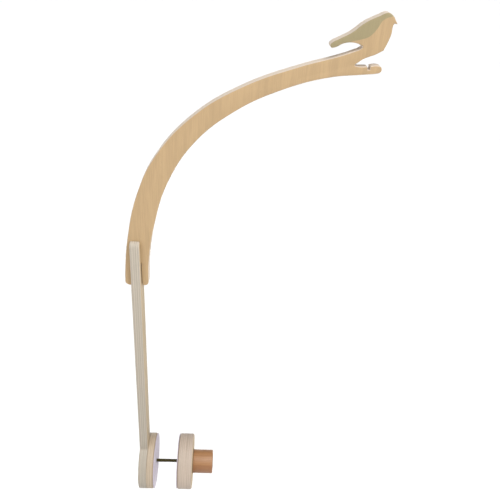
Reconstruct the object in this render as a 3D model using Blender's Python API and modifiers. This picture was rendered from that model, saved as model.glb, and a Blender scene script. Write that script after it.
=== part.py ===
"""Clamp-on crib mobile holder: a flat plywood arm with a bird on its tip, on a plywood post with a screw clamp.

Metres, +Z up. The origin is the grip point, in the middle of the fixed jaw's pad below the clamp bolt. +X runs
from the fixed jaw to the moving jaw and along the arm's reach. The arm's broad faces look along -Y and +Y.
"""

from math import atan2, cos, pi, radians, sin, sqrt, tan

import bmesh
import bpy
from mathutils import Vector

# Driving dimensions
PLY = 0.012  # the board of the post, the arm and the moving jaw's inner disc
DISC_PLY = 0.009  # the thinner board of the two outer discs
PAD = 0.001
GAP = 0.0003  # kept between pieces that touch
EASE = 0.0008  # the sanded edges of the plywood
MERGE = 0.00001  # points closer than this are one point

BOLT_Z = 0.020  # the clamp bolt's height over the grip point
JAW_RADIUS = 0.040
JAW_OPENING = 0.0329
PAD_RADIUS = 0.0395
PAD_HOLE_RADIUS = 0.0045
BOLT_RADIUS = 0.0025  # M5
BOLT_LENGTH = 0.070
BOLT_HEAD_FLATS = 0.008
BOLT_HEAD = 0.0035
BOLT_CHAMFER = 0.0006
CLEARANCE_RADIUS = 0.003  # the drilled holes that the bolt passes through

KNOB_RADIUS = 0.0170
KNOB_LENGTH = 0.030
KNOB_EDGE = 0.0012
KNOB_BORE_RADIUS = 0.0032
KNOB_BORE_DEPTH = 0.027
INSERT_RADIUS = 0.004
INSERT_LENGTH = 0.0107
INSERT_FLANGE_RADIUS = 0.0052
INSERT_FLANGE = 0.001

POST_TOP = 0.409
POST_HALF_WIDTH = 0.0125
POST_CORNER = 0.006
PADDLE_FILLET = 0.004
LAP_Z = 0.378  # where the two slots of the cross-lap joint meet
ARM_SLOT_SLACK = 0.0006  # the arm's slot is this much wider than the post, on its +X side

ARM_FOOT = 0.347
ARM_CORNER = 0.005
LEG_LEFT = -0.0305
LEG_RIGHT = -0.0021
BRANCH_TOP = 0.6217
NOTCH_LEFT = 0.2229
NOTCH_RIGHT = 0.2258
NOTCH_FLOOR = 0.6188
NOTCH_LIP = 0.6224  # top of the notch's outer wall

# Faces along X, from the post outwards
FIXED_DISC_RIGHT = -PAD - GAP
FIXED_DISC_LEFT = FIXED_DISC_RIGHT - DISC_PLY
POST_RIGHT = FIXED_DISC_LEFT - GAP
POST_LEFT = POST_RIGHT - PLY
INNER_DISC_LEFT = JAW_OPENING + PAD + GAP
INNER_DISC_RIGHT = INNER_DISC_LEFT + PLY
OUTER_DISC_LEFT = INNER_DISC_RIGHT + GAP
OUTER_DISC_RIGHT = OUTER_DISC_LEFT + DISC_PLY
KNOB_LEFT = OUTER_DISC_RIGHT + GAP
HEAD_LEFT = FIXED_DISC_LEFT + GAP
SHANK_LEFT = HEAD_LEFT + BOLT_HEAD

DISC_STEPS = 56
KNOB_STEPS = 40
HARDWARE_STEPS = 24
SHARP_ANGLE = radians(35)
CORNER_ANGLE = radians(60)  # edges turning more than this are sanded
FACING_X = (pi / 2, 0, pi / 2)  # local X, Y, Z become Y, Z, X
FACING_FRONT = (pi / 2, 0, 0)  # local X, Y, Z become X, Z, -Y
TURNED_ON_X = (0, pi / 2, 0)  # local Z becomes X


def clear_scene():
    for obj in list(bpy.data.objects):
        bpy.data.objects.remove(obj, do_unlink=True)


def new_collection(name):
    collection = bpy.data.collections.new(name)
    bpy.context.scene.collection.children.link(collection)
    return collection


def material(name, colour, roughness, metallic=0.0):
    made = bpy.data.materials.new(name)
    made.use_nodes = True
    shader = made.node_tree.nodes["Principled BSDF"]
    shader.inputs["Base Color"].default_value = (*colour, 1.0)
    shader.inputs["Roughness"].default_value = roughness
    shader.inputs["Metallic"].default_value = metallic
    return made


def evaluated_mesh(obj):
    """The object's mesh after its modifiers, or the mesh that a curve makes, with its loose caps welded."""
    graph = bpy.context.evaluated_depsgraph_get()
    mesh = bpy.data.meshes.new_from_object(obj.evaluated_get(graph))
    work = bmesh.new()
    work.from_mesh(mesh)
    bmesh.ops.remove_doubles(work, verts=work.verts, dist=MERGE)
    bmesh.ops.recalc_face_normals(work, faces=work.faces)
    work.to_mesh(mesh)
    work.free()
    return mesh


def finished(name, source, look, collection):
    """Replaces the source object by a plain mesh object of the same shape and place, shaded smooth."""
    mesh = evaluated_mesh(source)
    mesh.name = name
    mesh.materials.clear()
    mesh.materials.append(look)
    mesh.shade_smooth()
    mesh.set_sharp_from_angle(angle=SHARP_ANGLE)
    obj = bpy.data.objects.new(name, mesh)
    obj.location = source.location
    obj.rotation_euler = source.rotation_euler
    collection.objects.link(obj)
    bpy.data.objects.remove(source, do_unlink=True)
    return obj


# Outlines: each knot is (point, left handle, right handle), where a handle is a type or a point


def smooth(x, y):
    return ((x, y), "AUTO", "AUTO")


def corner(x, y):
    return ((x, y), "VECTOR", "VECTOR")


def rounded(before, point, after, radius):
    """Two knots that round a right-angled corner."""
    handle = 4 / 3 * tan(pi / 8)
    middle = Vector(point)
    start = middle + (Vector(before) - middle).normalized() * radius
    end = middle + (Vector(after) - middle).normalized() * radius
    return [
        (start[:], "VECTOR", start.lerp(middle, handle)[:]),
        (end[:], end.lerp(middle, handle)[:], "VECTOR"),
    ]


def arc(centre, radius, start, end, pieces):
    """Knots along a circle from angle start to angle end."""
    step = (end - start) / pieces
    reach = 4 / 3 * tan(step / 4) * radius
    knots = []
    for index in range(pieces + 1):
        angle = start + step * index
        point = Vector((centre[0] + radius * cos(angle), centre[1] + radius * sin(angle)))
        along = Vector((-sin(angle), cos(angle))) * reach
        left = "VECTOR" if index == 0 else (point - along)[:]
        right = "VECTOR" if index == pieces else (point + along)[:]
        knots.append((point[:], left, right))
    return knots


def set_handle(knot, side, handle):
    if isinstance(handle, str):
        setattr(knot, f"handle_{side}_type", handle)
        return
    setattr(knot, f"handle_{side}_type", "FREE")
    setattr(knot, f"handle_{side}", (*handle, 0))


def plate(name, knots, thickness, location, rotation, look, collection, resolution=6):
    """A flat board cut to a closed outline, with sanded edges."""
    outline = bpy.data.curves.new(name + "_outline", "CURVE")
    outline.dimensions = "2D"
    outline.fill_mode = "BOTH"
    outline.extrude = thickness / 2
    outline.resolution_u = resolution
    spline = outline.splines.new("BEZIER")
    spline.use_cyclic_u = True
    spline.bezier_points.add(len(knots) - 1)
    for knot, (point, left, right) in zip(spline.bezier_points, knots):
        knot.co = (*point, 0)
        set_handle(knot, "left", left)
        set_handle(knot, "right", right)
    board = bpy.data.objects.new(name + "_outline", outline)
    board.location = location
    board.rotation_euler = rotation
    collection.objects.link(board)
    weld = board.modifiers.new("weld caps", "WELD")
    weld.merge_threshold = MERGE
    ease = board.modifiers.new("sanded edges", "BEVEL")
    ease.width = EASE
    ease.segments = 1
    ease.limit_method = "ANGLE"
    ease.angle_limit = CORNER_ANGLE
    return finished(name, board, look, collection)


def turned(name, profile, closed, steps, look, collection, x=0.0):
    """A profile of (radius, height) turned about the clamp bolt's axis. It runs down its outer side."""
    mesh = bpy.data.meshes.new(name + "_profile")
    points = [(radius, 0, height) for radius, height in profile]
    edges = [(index, index + 1) for index in range(len(points) - 1)]
    if closed:
        edges.append((len(points) - 1, 0))
    mesh.from_pydata(points, edges, [])
    lathe = bpy.data.objects.new(name + "_profile", mesh)
    lathe.location = (x, 0, BOLT_Z)
    lathe.rotation_euler = TURNED_ON_X
    collection.objects.link(lathe)
    screw = lathe.modifiers.new("turned", "SCREW")
    screw.steps = steps
    screw.render_steps = steps
    screw.use_merge_vertices = True
    screw.merge_threshold = MERGE
    return finished(name, lathe, look, collection)


def ring(inner, outer, thickness, edge):
    """Profile of a disc with a hole and eased rims, standing on height 0."""
    return [
        (inner, thickness),
        (outer - edge, thickness),
        (outer - edge * (1 - sin(pi / 4)), thickness - edge * (1 - cos(pi / 4))),
        (outer, thickness - edge),
        (outer, edge),
        (outer - edge * (1 - sin(pi / 4)), edge * (1 - cos(pi / 4))),
        (outer - edge, 0),
        (inner, 0),
    ]


# The wooden frame


def support_post(look, collection):
    """Upright board with a round paddle at its foot and the joint's slot at its top."""
    fillet_y = POST_HALF_WIDTH + PADDLE_FILLET
    fillet_z = sqrt((JAW_RADIUS + PADDLE_FILLET) ** 2 - fillet_y**2)
    meet = atan2(fillet_z, fillet_y)
    slot = PLY / 2 + GAP
    top = POST_TOP
    half = POST_HALF_WIDTH
    knots = []
    knots += rounded((half, LAP_Z), (half, top), (0, top), POST_CORNER)
    knots += [corner(slot, top), corner(slot, LAP_Z), corner(-slot, LAP_Z), corner(-slot, top)]
    knots += rounded((0, top), (-half, top), (-half, LAP_Z), POST_CORNER)
    knots += arc((-fillet_y, BOLT_Z + fillet_z), PADDLE_FILLET, 0, -meet, 2)
    knots += arc((0, BOLT_Z), JAW_RADIUS, pi - meet, 2 * pi + meet, 12)
    knots += arc((fillet_y, BOLT_Z + fillet_z), PADDLE_FILLET, pi + meet, pi, 2)
    location = ((POST_LEFT + POST_RIGHT) / 2, 0, 0)
    return plate("support_post", knots, PLY, location, FACING_X, look, collection)


def arm_knots():
    """The arm's outline, from its foot up the outer edge, round the bird and the branch, and down the inner edge."""
    slot_left = POST_LEFT - GAP
    slot_right = POST_RIGHT + ARM_SLOT_SLACK
    foot = ARM_FOOT
    leg_top = LAP_Z
    slot_top = LAP_Z + GAP
    middle = (slot_left + slot_right) / 2
    knots = [corner(slot_left, slot_top), corner(slot_left, foot)]
    knots += rounded((middle, foot), (LEG_LEFT, foot), (LEG_LEFT, leg_top), ARM_CORNER)
    outer_edge = [
        smooth(-0.0300, 0.366),
        smooth(-0.0256, 0.409),
        smooth(-0.0121, 0.4694),
        smooth(0.0092, 0.5154),
        smooth(0.0503, 0.5627),
        smooth(0.0992, 0.5948),
        smooth(0.1550, 0.6180),
        smooth(0.1940, 0.6305),
        smooth(0.2070, 0.6355),
        smooth(0.2132, 0.6385),
    ]
    crotch = [smooth(0.2147, 0.6403)]
    tail = [
        smooth(0.2122, 0.6420),
        smooth(0.2033, 0.6438),
        smooth(0.1955, 0.6424),
        smooth(0.1872, 0.6382),
        smooth(0.1840, 0.6379),
        smooth(0.1826, 0.6405),
        smooth(0.1846, 0.6432),
    ]
    back = [
        smooth(0.1905, 0.6466),
        smooth(0.2025, 0.6535),
        smooth(0.2130, 0.6624),
        smooth(0.2265, 0.6697),
    ]
    head = [smooth(0.2345, 0.6729), smooth(0.2398, 0.6703), smooth(0.2428, 0.6665)]
    beak = [corner(0.2452, 0.6632), corner(0.2420, 0.6633)]
    breast = [
        smooth(0.2410, 0.6612),
        smooth(0.2409, 0.6545),
        smooth(0.2392, 0.6470),
        corner(0.2361, 0.6383),
    ]
    belly = [smooth(0.2290, 0.6340), smooth(0.2170, 0.6286), smooth(0.2120, 0.6247)]
    mouth = [smooth(0.2097, 0.6226)]
    branch = [smooth(0.2115, BRANCH_TOP), corner(NOTCH_LEFT, BRANCH_TOP)]
    notch = [corner(NOTCH_LEFT, NOTCH_FLOOR), corner(NOTCH_RIGHT, NOTCH_FLOOR)]
    branch_end = [
        corner(NOTCH_RIGHT, NOTCH_LIP),
        smooth(0.2335, 0.6232),
        smooth(0.2367, 0.6220),
        smooth(0.2376, 0.6195),
        smooth(0.2366, 0.6170),
        smooth(0.2335, 0.6157),
        smooth(0.2250, 0.6144),
    ]
    inner_edge = [
        smooth(0.2163, 0.6133),
        smooth(0.1870, 0.6092),
        smooth(0.1398, 0.5940),
        smooth(0.0923, 0.5688),
        smooth(0.0515, 0.5330),
        smooth(0.0228, 0.4858),
        smooth(0.0071, 0.4340),
        smooth(-0.0010, 0.3820),
    ]
    knots += outer_edge + crotch + tail + back + head + beak + breast + belly + mouth + branch + notch
    knots += branch_end + inner_edge
    knots += rounded((LEG_RIGHT, leg_top), (LEG_RIGHT, foot), (middle, foot), ARM_CORNER)
    knots += [corner(slot_right, foot), corner(slot_right, slot_top)]
    return knots


def curved_arm(look, collection):
    return plate("curved_arm", arm_knots(), PLY, (0, 0, 0), FACING_FRONT, look, collection)


# The clamp


def hex_prism(name, flats, left, right, collection):
    """Six-sided prism about the clamp bolt's axis, with two of its corners up and down."""
    mesh = bpy.data.meshes.new(name)
    work = bmesh.new()
    corner_radius = flats / 2 / cos(pi / 6)
    bmesh.ops.create_cone(
        work,
        cap_ends=True,
        segments=6,
        radius1=corner_radius,
        radius2=corner_radius,
        depth=right - left,
    )
    work.to_mesh(mesh)
    work.free()
    prism = bpy.data.objects.new(name, mesh)
    prism.location = ((left + right) / 2, 0, BOLT_Z)
    prism.rotation_euler = TURNED_ON_X
    collection.objects.link(prism)
    return prism


def combine(name, base, other, operation, look, collection):
    """The base object with the other one cut from it or joined to it."""
    boolean = base.modifiers.new(operation.lower(), "BOOLEAN")
    boolean.operation = operation
    boolean.object = other
    base.name = name + "_base"
    return finished(name, base, look, collection)


def fixed_jaw_disc(look, collection, cutters):
    """Disc that is glued over the paddle. A six-sided pocket in its back holds the bolt's head."""
    profile = ring(CLEARANCE_RADIUS, JAW_RADIUS, DISC_PLY, EASE)
    disc = turned("disc_blank", profile, True, DISC_STEPS, look, collection, FIXED_DISC_LEFT)
    flats = BOLT_HEAD_FLATS + 2 * GAP
    pocket = hex_prism("bolt_head_pocket", flats, FIXED_DISC_LEFT - PLY, SHANK_LEFT + GAP, cutters)
    pocket.hide_render = True
    pocket.display_type = "WIRE"
    return combine("fixed_jaw_disc", disc, pocket, "DIFFERENCE", look, collection)


def clamp_bolt(look, collection):
    """Full-length threaded bolt, with its thread as a plain shank of the same outer size."""
    overlap = BOLT_HEAD / 2
    end = BOLT_LENGTH + overlap
    profile = [
        (0, end),
        (BOLT_RADIUS - BOLT_CHAMFER, end),
        (BOLT_RADIUS, end - BOLT_CHAMFER),
        (BOLT_RADIUS, 0),
        (0, 0),
    ]
    left = SHANK_LEFT - overlap
    shank = turned("bolt_shank", profile, False, HARDWARE_STEPS, look, collection, left)
    head = hex_prism("bolt_head", BOLT_HEAD_FLATS, HEAD_LEFT, SHANK_LEFT, collection)
    bolt = combine("clamp_bolt", shank, head, "UNION", look, collection)
    bpy.data.objects.remove(head, do_unlink=True)
    return bolt


def jaw_pad(name, left, look, collection):
    profile = [
        (PAD_HOLE_RADIUS, PAD),
        (PAD_RADIUS, PAD),
        (PAD_RADIUS, 0),
        (PAD_HOLE_RADIUS, 0),
    ]
    return turned(name, profile, True, DISC_STEPS, look, collection, left)


def moving_jaw_disc(name, left, thickness, look, collection):
    profile = ring(CLEARANCE_RADIUS, JAW_RADIUS, thickness, EASE)
    return turned(name, profile, True, DISC_STEPS, look, collection, left)


def clamp_knob(look, collection):
    """Turned knob with a blind bore for the bolt and a stepped seat for the threaded insert."""
    edge = KNOB_EDGE
    inset = edge * (1 - cos(pi / 4))
    outer = [
        (0, KNOB_LENGTH),
        (KNOB_RADIUS - edge, KNOB_LENGTH),
        (KNOB_RADIUS - inset, KNOB_LENGTH - inset),
        (KNOB_RADIUS, KNOB_LENGTH - edge),
        (KNOB_RADIUS, edge),
        (KNOB_RADIUS - inset, inset),
        (KNOB_RADIUS - edge, 0),
    ]
    flange_seat = INSERT_FLANGE + 2 * GAP
    body_seat = INSERT_LENGTH + 2 * GAP
    bore = [
        (INSERT_FLANGE_RADIUS + GAP, 0),
        (INSERT_FLANGE_RADIUS + GAP, flange_seat),
        (INSERT_RADIUS + GAP, flange_seat),
        (INSERT_RADIUS + GAP, body_seat),
        (KNOB_BORE_RADIUS, body_seat),
        (KNOB_BORE_RADIUS, KNOB_BORE_DEPTH),
        (0, KNOB_BORE_DEPTH),
    ]
    return turned("clamp_knob", outer + bore, False, KNOB_STEPS, look, collection, KNOB_LEFT)


def knob_insert(look, collection):
    """Threaded insert, with its inner thread as a plain hole just wider than the bolt."""
    hole = BOLT_RADIUS + GAP
    profile = [
        (hole, INSERT_LENGTH),
        (INSERT_RADIUS, INSERT_LENGTH),
        (INSERT_RADIUS, INSERT_FLANGE),
        (INSERT_FLANGE_RADIUS, INSERT_FLANGE),
        (INSERT_FLANGE_RADIUS, 0),
        (hole, 0),
    ]
    left = KNOB_LEFT + GAP
    return turned("knob_insert", profile, True, HARDWARE_STEPS, look, collection, left)


def main():
    clear_scene()
    parts = new_collection("crib_mobile_holder")
    cutters = new_collection("cutters")
    cutters.hide_render = True
    birch = material("birch_plywood", (0.63, 0.44, 0.24), 0.55)
    pale_birch = material("birch_plywood_pale", (0.60, 0.47, 0.34), 0.55)
    felt = material("grey_pad", (0.47, 0.44, 0.47), 0.95)
    steel = material("blackened_steel", (0.08, 0.07, 0.045), 0.4, 1.0)
    beech = material("oiled_beech", (0.45, 0.22, 0.09), 0.45)
    brass = material("brass", (0.55, 0.42, 0.16), 0.35, 1.0)

    support_post(pale_birch, parts)
    curved_arm(birch, parts)
    fixed_jaw_disc(pale_birch, parts, cutters)
    jaw_pad("fixed_jaw_pad", -PAD, felt, parts)
    clamp_bolt(steel, parts)
    jaw_pad("moving_jaw_pad", JAW_OPENING, felt, parts)
    moving_jaw_disc("moving_jaw_inner_disc", INNER_DISC_LEFT, PLY, pale_birch, parts)
    moving_jaw_disc("moving_jaw_outer_disc", OUTER_DISC_LEFT, DISC_PLY, pale_birch, parts)
    clamp_knob(beech, parts)
    knob_insert(brass, parts)


main()
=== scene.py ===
"""Looks of a wooden crib mobile holder: a plywood arm with a painted bird, a plywood post and a screw clamp.

Metres, in the frame's own axes: X runs from the fixed jaw to the moving jaw, Y across the arm, Z up.
"""

from math import cos, pi, radians, sin

import bmesh
import bpy
from mathutils import Matrix, Vector, noise


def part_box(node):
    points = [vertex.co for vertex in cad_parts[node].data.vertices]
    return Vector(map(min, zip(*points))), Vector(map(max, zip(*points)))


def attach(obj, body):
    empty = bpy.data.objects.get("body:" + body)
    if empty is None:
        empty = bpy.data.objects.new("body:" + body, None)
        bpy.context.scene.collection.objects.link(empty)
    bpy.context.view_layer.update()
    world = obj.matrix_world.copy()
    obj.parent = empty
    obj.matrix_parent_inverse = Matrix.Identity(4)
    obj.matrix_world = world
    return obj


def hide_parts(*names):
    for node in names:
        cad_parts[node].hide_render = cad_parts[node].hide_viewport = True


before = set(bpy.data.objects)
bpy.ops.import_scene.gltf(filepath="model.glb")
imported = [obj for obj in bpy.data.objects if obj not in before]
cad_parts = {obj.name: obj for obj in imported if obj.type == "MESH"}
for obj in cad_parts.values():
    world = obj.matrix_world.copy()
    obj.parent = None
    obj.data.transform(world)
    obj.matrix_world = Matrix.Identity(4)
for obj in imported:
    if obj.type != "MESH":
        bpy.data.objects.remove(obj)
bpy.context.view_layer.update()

X, Y, Z = range(3)

# Plywood
PLY_THICKNESS = 0.00131  # of one veneer
GLUE_GROOVE = 0.00004  # how deep the sanding leaves each glue line
GLUE_HALF_WIDTH = 0.00009
SHORTEST_SIDE = 0.0003  # shorter sides of the CAD boards' outlines, which can't be eased, are left out
ARM_EASE = 0.0009  # how far the sanding rounds each board's edges
POST_EASE = 0.0014
DISC_EASE = 0.0024
GLUED_EASE = 0.00015  # on a rim that meets another board
MITER_LIMIT = 0.7  # keeps the easing from running out along a sharp corner
EDGE_STEPS = 5  # facets across a rounded edge
ROUND_STEPS = 144  # facets round a turned piece
SHARP_ANGLE = radians(50)  # edges turning more than this are shaded sharp
MERGE = 0.000001  # points closer than this are one point
CAD_MERGE = 0.00001  # the same, for the CAD's own points

# Clamp
BOLT_RADIUS = 0.0025
BOLT_HEAD = 0.0035  # its thickness
BOLT_HEAD_FLATS = 0.008
BOLT_HEAD_EASE = 0.0002
BOLT_TIP_CHAMFER = 0.0006
BOLT_TIP_DROP = 0.0001  # how far the tip's rim lies below the thread's root
BOLT_HOLE_RADIUS = 0.003
HOLE_CHAMFER = 0.0004
THREAD_PITCH = 0.0008
THREAD_DEPTH = 0.00043
THREAD_STEPS = 28
THREAD_MERGE = 0.000005
PAD_HOLE_RADIUS = 0.0045
PAD_UNEVENNESS = 0.00012
PAD_RINGS = 28
PAD_SOFT_RIM = 0.4  # the share of its thickness that each edge of its rim is rounded by
KNOB_EDGE = 0.0014
KNOB_FOOT_EDGE = 0.0004  # where it meets the disc
KNOB_CROWN = 0.0003  # how far the middle of the knob's end stands over its rim
KNOB_CROWN_RINGS = 6
KNOB_EDGE_STEPS = 6
KNOB_BORE_RADIUS = 0.0032
KNOB_BORE_DEPTH = 0.027
KNOB_SEAT_STEP = 0.0009  # from the flange's radius to that of the insert's hole in the knob
INSERT_FLANGE = 0.001
INSERT_STEP = 0.0012  # how far the flange stands out over the ridges
INSERT_RIDGE = 0.0004
INSERT_RIDGES = 7
INSERT_CLEARANCE = 0.0003  # between the bolt and the insert's hole
INSERT_CHAMFER = 0.0003
INSERT_EDGE = 0.0002
INSERT_STEPS = 72

# The knob's beech
PITH_Y, PITH_Z = -0.021, -0.034  # where the middle of its rings is
RINGS_PER_METRE = 520
LOWER_SHADE_TINT = (0.85, 0.78, 0.75, 1)  # painted shade: what the knob's lower side is multiplied by
LOWER_SHADE_START, LOWER_SHADE_FULL = 0.012, 0.0085  # heights over the knob's axis between which the painted shade begins

# The paint on the bird: where its lower edge runs over the board's face, from the tail to the crown
PAINT_EDGE = (
    (0.1800, 0.6320),
    (0.1960, 0.6375),
    (0.2033, 0.6447),
    (0.2108, 0.6468),
    (0.2183, 0.6495),
    (0.2234, 0.6540),
    (0.2265, 0.6587),
    (0.2309, 0.6662),
    (0.2353, 0.6687),
    (0.2390, 0.6699),
    (0.2450, 0.6750),
)

# Camera and light
CAMERA_PLACE = (0.0853, -0.5776, 0.7407)
CAMERA_TURN = (59.473, -3.619, -1.220)
CAMERA_LENS = 40.32
CAMERA_SENSOR = 36
FLOOR_Z = -0.8
FLOOR_SIZE = 60
FLOOR_COLOUR = (0.9, 0.9, 0.9, 1)
LIT_MIDDLE = (0.05, 0, 0.35)
KEY_PLACE, KEY_POWER, KEY_SIZE = (1.0, -1.15, 1.35), 8, 0.4
SIDE_PLACE, SIDE_POWER, SIDE_SIZE = (-1.2, -1.2, 1.3), 4, 0.5
TOP_DIRECTION, TOP_POWER, TOP_SPREAD = (0.2, -0.35, 1), 3.15, 50
ROOM_HORIZON, ROOM_TOP = 1, 0.15  # the white room's brightness
ROOM_FADE = (0.05, 0.5)  # how far up, as the sine of the angle, the one turns to the other


# Material nodes


def colour(code):
    """A linear colour from a #rrggbb code."""
    parts = []
    for start in (1, 3, 5):
        value = int(code[start : start + 2], 16) / 255
        parts.append(value / 12.92 if value < 0.04045 else ((value + 0.055) / 1.055) ** 2.4)
    return (*parts, 1)


class Look:
    """One Principled material, with short ways to add its nodes and link them."""

    def __init__(self, name):
        self.material = bpy.data.materials.new(name)
        self.material.use_nodes = True
        self.tree = self.material.node_tree
        self.shader = self.tree.nodes["Principled BSDF"]

    def plug(self, socket, value):
        if isinstance(value, bpy.types.NodeSocket):
            self.tree.links.new(value, socket)
        else:
            socket.default_value = value

    def node(self, kind, **settings):
        made = self.tree.nodes.new("ShaderNode" + kind)
        for setting, value in settings.items():
            setattr(made, setting, value)
        return made

    def shade(self, **sockets):
        for name, value in sockets.items():
            self.plug(self.shader.inputs[name.replace("_", " ")], value)

    def coordinates(self, output):
        return self.node("TexCoord").outputs[output]

    def split(self, vector):
        made = self.node("SeparateXYZ")
        self.plug(made.inputs[0], vector)
        return list(made.outputs)

    def join(self, x, y, z):
        made = self.node("CombineXYZ")
        for socket, value in zip(made.inputs, (x, y, z)):
            self.plug(socket, value)
        return made.outputs[0]

    def maths(self, operation, *values):
        made = self.node("Math", operation=operation)
        for socket, value in zip(made.inputs, values):
            self.plug(socket, value)
        return made.outputs[0]

    def times(self, first, second):
        return self.maths("MULTIPLY", first, second)

    def plus(self, first, second):
        return self.maths("ADD", first, second)

    def between(self, value, low, high, to_low=0, to_high=1, kind="SMOOTHSTEP"):
        """Value's way from low to high, as a number from to_low to to_high."""
        made = self.node("MapRange", interpolation_type=kind)
        for socket, number in zip(made.inputs, (value, low, high, to_low, to_high)):
            self.plug(socket, number)
        return made.outputs[0]

    def noise(self, vector, scale=1.0, detail=2.0, roughness=0.5, distortion=0.0):
        made = self.node("TexNoise")
        self.plug(made.inputs["Vector"], vector)
        self.plug(made.inputs["Scale"], scale)
        self.plug(made.inputs["Detail"], detail)
        self.plug(made.inputs["Roughness"], roughness)
        self.plug(made.inputs["Distortion"], distortion)
        return made.outputs[0]

    def random(self, value):
        made = self.node("TexWhiteNoise", noise_dimensions="1D")
        self.plug(made.inputs["W"], value)
        return made.outputs["Value"]

    def blend(self, factor, first, second):
        """A number between two numbers."""
        made = self.node("Mix", data_type="FLOAT")
        for index, value in ((0, factor), (2, first), (3, second)):
            self.plug(made.inputs[index], value)
        return made.outputs[0]

    def mix(self, factor, first, second, kind="MIX"):
        """A colour between two colours."""
        made = self.node("Mix", data_type="RGBA", blend_type=kind)
        for index, value in ((0, factor), (6, first), (7, second)):
            self.plug(made.inputs[index], value)
        return made.outputs[2]

    def darken(self, base, factor):
        """The base colour times a number."""
        made = self.node("VectorMath", operation="SCALE")
        self.plug(made.inputs[0], base[:3] if isinstance(base, tuple) else base)
        self.plug(made.inputs["Scale"], factor)
        return made.outputs[0]

    def bump(self, height, distance):
        made = self.node("Bump")
        self.plug(made.inputs["Height"], height)
        self.plug(made.inputs["Distance"], distance)
        self.plug(self.shader.inputs["Normal"], made.outputs[0])


# Materials


def painted_part(look, x, z, facing_across):
    """1 on the board's faces above the paint's edge, 0 elsewhere, with a slightly soft brushed line."""
    first_x, last_x = PAINT_EDGE[0][0], PAINT_EDGE[-1][0]
    first_z, last_z = PAINT_EDGE[0][1], PAINT_EDGE[-1][1]
    curve = look.node("FloatCurve")
    points = curve.mapping.curves[0].points
    for edge_x, edge_z in PAINT_EDGE[1:-1]:
        points.new((edge_x - first_x) / (last_x - first_x), (edge_z - first_z) / (last_z - first_z))
    curve.mapping.update()
    look.plug(curve.inputs["Value"], look.between(x, first_x, last_x, kind="LINEAR"))
    edge = look.between(curve.outputs[0], 0, 1, first_z, last_z, kind="LINEAR")
    wobble = look.noise(look.join(x, z, 0), 900, 2)
    over = look.plus(look.maths("SUBTRACT", z, edge), look.times(wobble, 0.0003))
    inside = look.between(over, 0, 0.0003)
    past_start = look.maths("GREATER_THAN", x, first_x)
    face = look.between(facing_across, 0.5, 0.85)
    return look.times(look.times(inside, past_start), face)


def plywood(name, node, across, face, rim, seed=0.0, paint=None, fade=0.0):
    """Birch veneers, each with its grain across the one before, on the varnished faces and the sawn rim.

    The fade is painted shade: how much darker the board gets from its top to its bottom, standing in for
    light that dims lower down.
    """
    lowest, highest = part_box(node)
    low, high = lowest[across], highest[across]
    plies = round((high - low) / PLY_THICKNESS)
    side = X + Y - across
    look = Look(name)
    place = look.split(look.coordinates("Object"))
    facing = [look.maths("ABSOLUTE", part) for part in look.split(look.coordinates("Normal"))]

    depth = look.between(place[across], low, high, 0.01, plies - 0.01, kind="LINEAR")
    layer = look.maths("FLOOR", depth)
    crossing = look.maths("MODULO", layer, 2)
    along = look.blend(crossing, place[Z], place[side])
    beside = look.blend(crossing, place[side], place[Z])
    through = look.plus(place[across], look.times(layer, 0.031))

    fibre_place = look.join(look.times(along, 25), look.times(beside, 850), look.times(through, 850))
    fibre = look.noise(fibre_place, 1, 3, 0.65)
    figure_place = look.join(look.times(along, 5), look.times(beside, 38), look.plus(through, seed))
    figure = look.noise(figure_place, 1, 3, 0.5, 1.2)
    rings = look.maths("SINE", look.times(figure, 42))
    tone = look.plus(look.times(fibre, 0.45), look.times(figure, 0.45))
    tone = look.plus(tone, look.times(rings, 0.03))
    tone = look.between(tone, 0.25, 0.65)
    varnished = look.darken(face, look.between(tone, 0, 1, 1.05, 0.92))

    fleck_place = look.join(look.times(along, 160), look.times(beside, 1500), look.times(through, 1500))
    fleck = look.between(look.noise(fleck_place, 1, 1), 0.68, 0.76)
    varnished = look.darken(varnished, look.between(fleck, 0, 1, 1, 0.9))

    end_grain = look.blend(crossing, facing[Z], facing[side])
    sawn = look.darken(rim, look.between(look.times(fibre, 0.5), 0.1, 0.4, 1.05, 0.96))
    sawn = look.darken(sawn, look.between(end_grain, 0, 1, 1.09, 0.9))
    sawn = look.darken(sawn, look.between(look.random(look.plus(layer, seed)), 0, 1, 0.96, 1.03))
    from_middle = look.maths("ABSOLUTE", look.maths("SUBTRACT", look.maths("FRACT", depth), 0.5))
    sawn = look.darken(sawn, look.between(from_middle, 0.41, 0.49, 1, 0.76))
    on_rim = look.between(facing[across], 0.9, 0.6)
    wood = look.mix(on_rim, varnished, sawn)
    # Painted shade: the colour darkens towards the board's bottom by the fade.
    wood = look.darken(wood, look.between(place[Z], lowest.z, highest.z, 1 - fade, 1, kind="LINEAR"))
    # Painted shade: the rounded edges between face and rim are darkened a little.
    eased = look.times(look.between(facing[across], 0.15, 0.5), look.between(facing[across], 0.98, 0.85))
    wood = look.darken(wood, look.between(eased, 0, 1, 1, 0.93))

    roughness = look.between(fibre, 0.2, 0.8, 0.5, 0.66)
    height = look.maths("SUBTRACT", look.times(fibre, 0.6), look.times(fleck, 0.4))
    if paint:
        painted = painted_part(look, place[X], place[Z], facing[across])
        brushed = look.darken(paint, look.between(fibre, 0.25, 0.75, 1.03, 0.96))
        wood = look.mix(look.times(painted, 0.97), wood, brushed)
        roughness = look.blend(painted, roughness, 0.62)
        height = look.plus(look.times(height, look.between(painted, 0, 1, 1, 0.6)), painted)
    look.shade(Base_Color=wood, Roughness=roughness, Specular_IOR_Level=0.4)
    look.bump(height, 0.00006)
    return look.material


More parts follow.
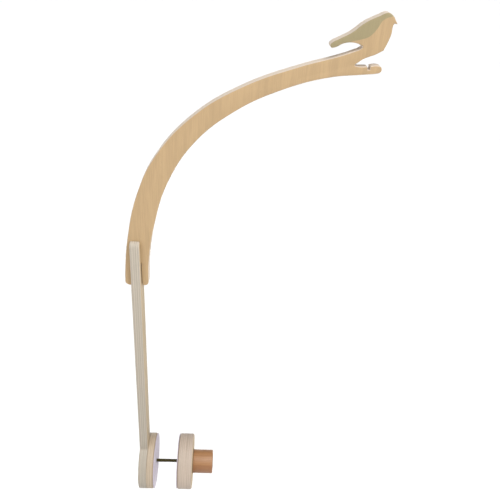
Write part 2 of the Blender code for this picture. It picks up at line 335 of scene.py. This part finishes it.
def felt(name, base):
    """Pressed wool felt: fine tangled fibres over soft clumps."""
    look = Look(name)
    spot = look.coordinates("Object")
    fibres = look.noise(spot, 2600, 4, 0.7, 1.5)
    clumps = look.noise(spot, 420, 3, 0.6)
    tint = look.mix(look.between(fibres, 0.3, 0.7), look.darken(base, 0.82), look.darken(base, 1.14))
    tint = look.darken(tint, look.between(clumps, 0.3, 0.7, 0.93, 1.06))
    look.shade(Base_Color=tint, Roughness=0.95, Sheen_Weight=0.25, Sheen_Roughness=0.6)
    look.bump(look.plus(fibres, look.times(clumps, 0.7)), 0.00015)
    return look.material


def from_bolt_axis(look, place):
    """How far a spot is from the clamp bolt's axis."""
    low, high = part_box("clamp_bolt")
    up = look.maths("SUBTRACT", place[Z], (low.z + high.z) / 2)
    aside = look.maths("SUBTRACT", place[Y], (low.y + high.y) / 2)
    squares = look.plus(look.times(up, up), look.times(aside, aside))
    return look.maths("SQRT", squares)


def dark_steel(name, crest, root):
    """Oxide-brown steel that is rubbed brighter on the thread's crests."""
    look = Look(name)
    spot = look.coordinates("Object")
    height = from_bolt_axis(look, look.split(spot))
    stain = look.noise(spot, 700, 3, 0.6)
    rubbed = look.between(height, BOLT_RADIUS - THREAD_DEPTH, BOLT_RADIUS)
    tint = look.mix(rubbed, root, crest)
    tint = look.darken(tint, look.between(stain, 0.3, 0.7, 0.75, 1.15))
    look.shade(Base_Color=tint, Metallic=0.9, Roughness=look.between(stain, 0.3, 0.7, 0.34, 0.5))
    look.bump(look.noise(spot, 3000, 2), 0.00001)
    return look.material


def beech(name, light, dark, pore):
    """Oiled beech turned from a stave: rings about a far pith, long fibres, short rays, and painted shade on
    all but its top.
    """
    look = Look(name)
    spot = look.coordinates("Object")
    x, y, z = look.split(spot)
    warp = look.times(look.noise(look.join(look.times(x, 12), look.times(y, 60), look.times(z, 60))), 0.003)
    from_pith_y = look.plus(y, -PITH_Y)
    from_pith_z = look.plus(z, -PITH_Z)
    squares = look.plus(look.times(from_pith_y, from_pith_y), look.times(from_pith_z, from_pith_z))
    ring = look.maths("FRACT", look.times(look.plus(look.maths("SQRT", squares), warp), RINGS_PER_METRE))
    fibre = look.noise(look.join(look.times(x, 70), look.times(y, 1500), look.times(z, 1500)), 1, 3, 0.6)
    tone = look.plus(look.times(look.between(ring, 0.1, 1), 0.3), look.times(fibre, 0.8))
    wood = look.mix(look.between(tone, 0.25, 0.85), light, dark)
    ray = look.noise(look.join(look.times(x, 700), look.times(y, 2600), look.times(z, 2600)), 1, 1)
    ray = look.between(ray, 0.66, 0.72)
    wood = look.mix(look.times(ray, 0.55), wood, pore)
    end = look.maths("ABSOLUTE", look.split(look.coordinates("Normal"))[X])
    wood = look.darken(wood, look.between(end, 0.4, 1, 1, 0.82))
    axis = sum(corner.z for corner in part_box("clamp_knob")) / 2
    # Painted shade: the knob is darkened below its top, as if lit from above.
    lower_shade = look.between(look.plus(z, warp), axis + LOWER_SHADE_START, axis + LOWER_SHADE_FULL)
    wood = look.mix(lower_shade, wood, LOWER_SHADE_TINT, kind="MULTIPLY")
    look.shade(Base_Color=wood, Roughness=look.between(fibre, 0.2, 0.8, 0.42, 0.58))
    look.shade(Coat_Weight=0.08, Coat_Roughness=0.35)
    look.bump(look.maths("SUBTRACT", fibre, look.times(ray, 0.6)), 0.00005)
    return look.material


def brass(name, base):
    look = Look(name)
    spot = look.coordinates("Object")
    stain = look.noise(spot, 500, 3, 0.6)
    look.shade(Base_Color=look.darken(base, look.between(stain, 0.3, 0.7, 0.8, 1.1)))
    look.shade(Metallic=1.0, Roughness=look.between(stain, 0.3, 0.7, 0.28, 0.42))
    look.bump(look.noise(spot, 4000, 2), 0.00001)
    return look.material


# Geometry


def collect(name, mesh, look, body, node):
    """Makes the piece that stands for a CAD node, and lets it ride on the node's body."""
    piece = bpy.data.objects.new(name, mesh)
    bpy.context.scene.collection.objects.link(piece)
    mesh.materials.clear()
    mesh.materials.append(look)
    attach(piece, body)
    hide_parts(node)
    return piece


def board_outline(node, across):
    """A CAD board's outline round its side wall, without sides too short to ease."""
    work = bmesh.new()
    work.from_mesh(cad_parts[node].data)
    bmesh.ops.remove_doubles(work, verts=work.verts, dist=CAD_MERGE)
    levels = sorted({round(vert.co[across], 6) for vert in work.verts})
    wall = levels[1]
    neighbours = {}
    for edge in work.edges:
        if all(abs(vert.co[across] - wall) < CAD_MERGE for vert in edge.verts):
            first, second = edge.verts
            neighbours.setdefault(first, []).append(second)
            neighbours.setdefault(second, []).append(first)
    loop = [next(iter(neighbours))]
    ahead = neighbours[loop[0]][0]
    while ahead is not loop[0]:
        before = loop[-1]
        loop.append(ahead)
        ahead = next(vert for vert in neighbours[ahead] if vert is not before)
    first_axis, second_axis = flat_axes(across)
    outline = []
    for vert in loop:
        point = Vector((vert.co[first_axis], vert.co[second_axis]))
        if not outline or min((point - outline[-1]).length, (point - outline[0]).length) > SHORTEST_SIDE:
            outline.append(point)
    work.free()
    return outline


def flat_axes(across):
    return [axis for axis in (X, Y, Z) if axis != across]


def outward(outline):
    """At each point of an outline the direction in which both of its sides move out by one."""
    turned = outline[1:] + outline[:1]
    area = sum(here.cross(after) for here, after in zip(outline, turned))
    sign = 1 if area > 0 else -1
    directions = []
    for before, here, after in zip(outline[-1:] + outline[:-1], outline, turned):
        side_in = (here - before).normalized()
        side_out = (after - here).normalized()
        normal_in = Vector((side_in.y, -side_in.x)) * sign
        normal_out = Vector((side_out.y, -side_out.x)) * sign
        middle = (normal_in + normal_out).normalized()
        directions.append(middle / max(middle.dot(normal_in), MITER_LIMIT))
    return directions


def moved_in(outline, directions, inset):
    """The outline moved in by so much. The ends of a short side that would fold over meet instead."""
    moved = [point - direction * inset for point, direction in zip(outline, directions)]
    for index, point in enumerate(outline):
        side = point - outline[index - 1]
        if (moved[index] - moved[index - 1]).dot(side) < 0:
            moved[index] = moved[index - 1] = (moved[index] + moved[index - 1]) / 2
    return moved


def rim_profile(low, high, ease_low, ease_high):
    """(place, inset) across a board's rim: rounded edges, and between them a groove at each glue line."""
    turns = [pi / 2 * step / EDGE_STEPS for step in range(EDGE_STEPS + 1)]
    easing = [(1 - cos(turn), 1 - sin(turn)) for turn in turns]
    profile = [(low + ease_low * rise, ease_low * inset) for rise, inset in easing]
    plies = round((high - low) / PLY_THICKNESS)
    for index in range(1, plies):
        line = low + (high - low) * index / plies
        if low + ease_low < line - GLUE_HALF_WIDTH and line + GLUE_HALF_WIDTH < high - ease_high:
            profile += [(line - GLUE_HALF_WIDTH, 0), (line, GLUE_GROOVE), (line + GLUE_HALF_WIDTH, 0)]
    profile += [(high - ease_high * rise, ease_high * inset) for rise, inset in reversed(easing)]
    return profile


def board_mesh(name, node, across, ease):
    """The CAD board again, with rounded edges and the glue lines' grooves round its rim."""
    outline = board_outline(node, across)
    directions = outward(outline)
    first_axis, second_axis = flat_axes(across)
    low, high = (corner[across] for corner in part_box(node))
    work = bmesh.new()
    rings = []
    for place, inset in rim_profile(low, high, ease, ease):
        ring = []
        for point in moved_in(outline, directions, inset):
            spot = Vector((0, 0, 0))
            spot[across] = place
            spot[first_axis], spot[second_axis] = point
            ring.append(work.verts.new(spot))
        rings.append(ring)
    for ring, upper in zip(rings, rings[1:]):
        turned = zip(ring, ring[1:] + ring[:1], upper[1:] + upper[:1], upper)
        for corners in turned:
            work.faces.new(corners).smooth = True
    work.faces.new(rings[0])
    work.faces.new(rings[-1])
    bmesh.ops.remove_doubles(work, verts=work.verts, dist=MERGE)
    bmesh.ops.recalc_face_normals(work, faces=work.faces)
    return finished_mesh(name, work, keep_flat=True)


def finished_mesh(name, work, keep_flat=False):
    mesh = bpy.data.meshes.new(name)
    work.to_mesh(mesh)
    work.free()
    if not keep_flat:
        mesh.shade_smooth()
    mesh.set_sharp_from_angle(angle=SHARP_ANGLE)
    return mesh


def turned_mesh(name, profile, x, closed=True, steps=ROUND_STEPS):
    """A profile of (radius, height) turned about the clamp bolt's axis, standing on that x."""
    work = bmesh.new()
    verts = [work.verts.new((height, 0, radius)) for radius, height in profile]
    edges = [work.edges.new(pair) for pair in zip(verts, verts[1:])]
    if closed:
        edges.append(work.edges.new((verts[-1], verts[0])))
    bmesh.ops.spin(
        work, geom=verts + edges, cent=(0, 0, 0), axis=(1, 0, 0), angle=2 * pi, steps=steps, use_merge=True
    )
    bmesh.ops.remove_doubles(work, verts=work.verts, dist=MERGE)
    bmesh.ops.recalc_face_normals(work, faces=work.faces)
    mesh = finished_mesh(name, work)
    mesh.transform(on_bolt_axis(x))
    return mesh


def gap_along_x(lower_node, upper_node):
    """The gap that the CAD leaves between two nodes, one after the other along X."""
    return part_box(upper_node)[0].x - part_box(lower_node)[1].x


def on_bolt_axis(x):
    low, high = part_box("clamp_bolt")
    return Matrix.Translation((x, (low.y + high.y) / 2, (low.z + high.z) / 2))


def quarter_round(radius, height, size, first_turn, steps=EDGE_STEPS):
    """A quarter circle about (radius, height), from so many quarter turns after the outward direction."""
    points = []
    for index in range(steps + 1):
        angle = pi / 2 * (first_turn + index / steps)
        points.append((radius + size * cos(angle), height + size * sin(angle)))
    return points


def disc_profile(radius, thickness, ease_low, ease_high, hole_foot):
    """A plywood disc with a rim like the boards', an easing of its own on each side and a bolt hole."""
    profile = [(radius - inset, place) for place, inset in rim_profile(0, thickness, ease_low, ease_high)]
    profile += [(BOLT_HOLE_RADIUS + HOLE_CHAMFER, thickness), (BOLT_HOLE_RADIUS, thickness - HOLE_CHAMFER)]
    return profile + hole_foot


def disc_mesh(name, node, glued_side, reach, hole_foot):
    """A jaw's disc. On its glued side, -1 or 1, it reaches its neighbour and keeps a crisp rim."""
    low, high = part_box(node)
    eases = (GLUED_EASE, DISC_EASE) if glued_side < 0 else (DISC_EASE, GLUED_EASE)
    profile = disc_profile((high.z - low.z) / 2, high.x - low.x + reach, *eases, hole_foot)
    return turned_mesh(name, profile, low.x - (reach if glued_side < 0 else 0))


def head_pocket(gap):
    """The foot of the fixed disc's hole: a round pocket, open to the post, for the bolt's head."""
    radius = BOLT_HEAD_FLATS / 2 / cos(pi / 6) + gap
    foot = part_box("fixed_jaw_disc")[0].x - gap
    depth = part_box("clamp_bolt")[0].x + BOLT_HEAD + gap - foot
    return [(BOLT_HOLE_RADIUS, depth), (radius, depth), (radius, 0)]


def pad_mesh(name, node, face):
    """A felt ring with a soft rim. Its face, at the lower or upper x, is a little uneven."""
    low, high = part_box(node)
    radius, thickness = (high.z - low.z) / 2, high.x - low.x
    soft = thickness * PAD_SOFT_RIM
    width = radius - soft - PAD_HOLE_RADIUS
    spread = [PAD_HOLE_RADIUS + width * index / PAD_RINGS for index in range(PAD_RINGS + 1)]
    profile = [(inner, 0) for inner in spread]
    profile += quarter_round(radius - soft, soft, soft, -1)[1:]
    profile += quarter_round(radius - soft, thickness - soft, soft, 0)
    profile += [(inner, thickness) for inner in reversed(spread[:-1])]
    mesh = turned_mesh(name, profile, low.x)
    back = low.x if face > 0 else high.x
    for vert in mesh.vertices:
        share = abs(vert.co.x - back) / thickness
        dent = PAD_UNEVENNESS * (0.5 + 0.5 * noise.noise(vert.co * 350)) * share
        vert.co.x -= face * dent
    return mesh


def thread_mesh(radius, length):
    """A right-hand thread from x = 0 to about the length, open at its ends."""
    root = radius - THREAD_DEPTH
    flank = THREAD_PITCH * 5 / 16
    start = THREAD_PITCH / 4
    profile = [
        (0, root),
        (start, root),
        (start + flank, radius),
        (THREAD_PITCH - flank, radius),
        (THREAD_PITCH, root),
    ]
    source = bpy.data.meshes.new("thread_profile")
    source.from_pydata([(x, 0, z) for x, z in profile], [(i, i + 1) for i in range(len(profile) - 1)], [])
    lathe = bpy.data.objects.new("thread_profile", source)
    bpy.context.scene.collection.objects.link(lathe)
    screw = lathe.modifiers.new("thread", "SCREW")
    screw.axis = "X"
    screw.screw_offset = THREAD_PITCH
    screw.iterations = int(length / THREAD_PITCH) - 1
    screw.steps = THREAD_STEPS
    screw.render_steps = THREAD_STEPS
    screw.use_merge_vertices = True
    screw.merge_threshold = THREAD_MERGE
    graph = bpy.context.evaluated_depsgraph_get()
    mesh = bpy.data.meshes.new_from_object(lathe.evaluated_get(graph))
    bpy.data.objects.remove(lathe, do_unlink=True)
    return mesh


def bolt_mesh(name):
    """The threaded bolt, with its six-sided head at the lower x."""
    low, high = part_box("clamp_bolt")
    length = high.x - low.x - BOLT_HEAD
    work = bmesh.new()
    work.from_mesh(thread_mesh(BOLT_RADIUS, length))
    bmesh.ops.remove_doubles(work, verts=work.verts, dist=THREAD_MERGE)
    tip = max(vert.co.x for vert in work.verts)
    stretch = length / tip
    for vert in work.verts:
        vert.co.x *= stretch
        limit = BOLT_RADIUS - THREAD_DEPTH - BOLT_TIP_DROP + max(0, length - vert.co.x)
        reach = (vert.co.y**2 + vert.co.z**2) ** 0.5
        if length - vert.co.x < BOLT_TIP_CHAMFER and reach > limit:
            vert.co.yz = vert.co.yz * (limit / reach)
    bmesh.ops.holes_fill(work, edges=[edge for edge in work.edges if edge.is_boundary])
    caps = [face for face in work.faces if len(face.verts) > 4]
    bmesh.ops.poke(work, faces=caps)
    bmesh.ops.translate(work, verts=work.verts, vec=(BOLT_HEAD, 0, 0))
    corner_radius = BOLT_HEAD_FLATS / 2 / cos(pi / 6)
    head = bmesh.ops.create_cone(
        work,
        cap_ends=True,
        segments=6,
        radius1=corner_radius,
        radius2=corner_radius,
        depth=BOLT_HEAD,
        matrix=Matrix.Translation((BOLT_HEAD / 2, 0, 0)) @ Matrix.Rotation(pi / 2, 4, "Y"),
    )
    edges = {edge for vert in head["verts"] for edge in vert.link_edges}
    bmesh.ops.bevel(work, geom=list(edges), offset=BOLT_HEAD_EASE, segments=2, profile=0.5, affect="EDGES")
    bmesh.ops.recalc_face_normals(work, faces=work.faces)
    mesh = finished_mesh(name, work)
    mesh.transform(on_bolt_axis(low.x))
    return mesh


def knob_mesh(name):
    """A turned knob with rounded rims, a slightly crowned end and a blind bore."""
    low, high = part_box("clamp_knob")
    radius, length = (high.z - low.z) / 2, high.x - low.x
    rim = radius - KNOB_EDGE
    profile = [(0, length)]
    for index in range(1, KNOB_CROWN_RINGS):
        share = index / KNOB_CROWN_RINGS
        profile.append((rim * share, length - KNOB_CROWN * share**2))
    top = length - KNOB_CROWN
    profile += reversed(quarter_round(rim, top - KNOB_EDGE, KNOB_EDGE, 0, KNOB_EDGE_STEPS))
    profile += reversed(quarter_round(radius - KNOB_FOOT_EDGE, KNOB_FOOT_EDGE, KNOB_FOOT_EDGE, -1))
    insert_low, insert_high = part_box("knob_insert")
    flange = (insert_high.z - insert_low.z) / 2
    gap = insert_low.x - low.x
    seat = insert_high.x - low.x + gap
    profile += [
        (flange + gap, 0),
        (flange + gap, INSERT_FLANGE + 2 * gap),
        (flange - KNOB_SEAT_STEP, INSERT_FLANGE + 2 * gap),
        (flange - KNOB_SEAT_STEP, seat),
        (KNOB_BORE_RADIUS, seat),
        (KNOB_BORE_RADIUS, KNOB_BORE_DEPTH),
        (0, KNOB_BORE_DEPTH),
    ]
    return turned_mesh(name, profile, low.x, closed=False)


def insert_mesh(name):
    """A flanged insert with ridges that hold it in the wood."""
    low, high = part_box("knob_insert")
    flange, length = (high.z - low.z) / 2, high.x - low.x
    body = flange - INSERT_STEP
    hole = BOLT_RADIUS + INSERT_CLEARANCE
    profile = [(hole + INSERT_CHAMFER, 0), (flange - INSERT_EDGE, 0), (flange, INSERT_EDGE)]
    profile.append((flange, INSERT_FLANGE))
    pitch = (length - INSERT_FLANGE) / INSERT_RIDGES
    for index in range(INSERT_RIDGES):
        start = INSERT_FLANGE + pitch * index
        profile += [
            (body - INSERT_RIDGE, start + pitch * 0.1),
            (body, start + pitch * 0.45),
            (body, start + pitch * 0.6),
        ]
    profile += [(body - INSERT_RIDGE, length), (hole, length), (hole, INSERT_CHAMFER)]
    return turned_mesh(name, profile, low.x, steps=INSERT_STEPS)


# The pieces


def wooden_frame():
    face, rim, paint = colour("#b59973"), colour("#d6c7b6"), colour("#978b69")
    arm_wood = plywood("birch_arm", "curved_arm", Y, face, rim, paint=paint)
    face, rim = colour("#bba685"), colour("#b2a899")
    # The post gets painted shade that darkens it towards its bottom.
    post_wood = plywood("birch_post", "support_post", X, face, rim, seed=3.7, fade=0.2)
    arm = board_mesh("arm_board", "curved_arm", Y, ARM_EASE)
    collect("arm_board", arm, arm_wood, "arm", "curved_arm")
    post = board_mesh("post_board", "support_post", X, POST_EASE)
    collect("post_board", post, post_wood, "base", "support_post")


def jaws():
    grey_felt = felt("grey_felt", colour("#bcb1bd"))
    fixed_gap = gap_along_x("support_post", "fixed_jaw_disc")
    moving_gap = gap_along_x("moving_jaw_inner_disc", "moving_jaw_outer_disc")
    pocket = head_pocket(fixed_gap)
    eased = [(BOLT_HOLE_RADIUS, HOLE_CHAMFER), (BOLT_HOLE_RADIUS + HOLE_CHAMFER, 0)]
    discs = (
        ("fixed_disc", "fixed_jaw_disc", "base", -1, fixed_gap, pocket, "#ae9d88", 5.1),
        ("moving_inner_disc", "moving_jaw_inner_disc", "moving_jaw", 1, 0, eased, "#b0a091", 8.3),
        ("moving_outer_disc", "moving_jaw_outer_disc", "moving_jaw", -1, moving_gap, eased, "#b0a091", 12.9),
    )
    for name, node, body, glued_side, reach, hole_foot, rim, seed in discs:
        wood = plywood("birch_" + name, node, X, colour("#bba685"), colour(rim), seed=seed)
        disc = disc_mesh(name, node, glued_side, reach, hole_foot)
        collect(name, disc, wood, body, node)
    pads = (
        ("fixed_felt_pad", "fixed_jaw_pad", "base", 1),
        ("moving_felt_pad", "moving_jaw_pad", "moving_jaw", -1),
    )
    for name, node, body, face in pads:
        pad = collect(name, pad_mesh(name, node, face), grey_felt, body, node)


def screw_clamp():
    steel = dark_steel("dark_steel", colour("#6a603c"), colour("#494127"))
    collect("threaded_bolt", bolt_mesh("threaded_bolt"), steel, "base", "clamp_bolt")
    knob_wood = beech("oiled_beech", colour("#9e734d"), colour("#8d6540"), colour("#704b2c"))
    collect("beech_knob", knob_mesh("beech_knob"), knob_wood, "knob", "clamp_knob")
    metal = brass("insert_brass", colour("#c9ab62"))
    collect("brass_insert", insert_mesh("brass_insert"), metal, "knob", "knob_insert")


# Stage, light and camera


def floor():
    look = Look("pale_floor")
    look.shade(Base_Color=FLOOR_COLOUR, Roughness=0.9, Specular_IOR_Level=0.1)
    work = bmesh.new()
    bmesh.ops.create_grid(work, x_segments=1, y_segments=1, size=FLOOR_SIZE / 2)
    mesh = bpy.data.meshes.new("floor")
    work.to_mesh(mesh)
    work.free()
    mesh.materials.append(look.material)
    sheet = bpy.data.objects.new("floor", mesh)
    sheet.location = (0, 0, FLOOR_Z)
    bpy.context.scene.collection.objects.link(sheet)


def lamp(name, kind, place, towards, power):
    """A light at a place, turned to shine towards another."""
    light_data = bpy.data.lights.new(name, kind)
    light_data.energy = power
    holder = bpy.data.objects.new(name, light_data)
    holder.location = place
    holder.rotation_euler = (Vector(place) - Vector(towards)).to_track_quat("Z", "Y").to_euler()
    bpy.context.scene.collection.objects.link(holder)
    return light_data


def light():
    """A softbox on either side of the camera and a wide soft light overhead, in a room that dims upwards."""
    world = bpy.data.worlds.new("studio")
    world.use_nodes = True
    tree = world.node_tree
    direction = tree.nodes.new("ShaderNodeTexCoord").outputs["Generated"]
    parts = tree.nodes.new("ShaderNodeSeparateXYZ")
    tree.links.new(direction, parts.inputs[0])
    fade = tree.nodes.new("ShaderNodeMapRange")
    fade.interpolation_type = "SMOOTHSTEP"
    for socket, value in zip(fade.inputs[1:], (*ROOM_FADE, ROOM_HORIZON, ROOM_TOP)):
        socket.default_value = value
    tree.links.new(parts.outputs[Z], fade.inputs[0])
    background = tree.nodes["Background"]
    background.inputs["Color"].default_value = (1, 1, 1, 1)
    tree.links.new(fade.outputs[0], background.inputs["Strength"])
    bpy.context.scene.world = world
    key_light = lamp("key_light", "AREA", KEY_PLACE, LIT_MIDDLE, KEY_POWER)
    key_light.size = KEY_SIZE
    side_light = lamp("side_light", "AREA", SIDE_PLACE, LIT_MIDDLE, SIDE_POWER)
    side_light.size = SIDE_SIZE
    top_light = lamp("top_light", "SUN", TOP_DIRECTION, (0, 0, 0), TOP_POWER)
    top_light.angle = radians(TOP_SPREAD)
    bpy.context.scene.view_settings.view_transform = "Standard"


def camera():
    lens = bpy.data.cameras.new("camera")
    lens.sensor_width = CAMERA_SENSOR
    lens.lens = CAMERA_LENS
    lens.clip_start = 0.01
    lens.clip_end = 100
    holder = bpy.data.objects.new("camera", lens)
    holder.location = CAMERA_PLACE
    holder.rotation_euler = [radians(turn) for turn in CAMERA_TURN]
    bpy.context.scene.collection.objects.link(holder)
    bpy.context.scene.camera = holder


wooden_frame()
jaws()
screw_clamp()
floor()
light()
camera()
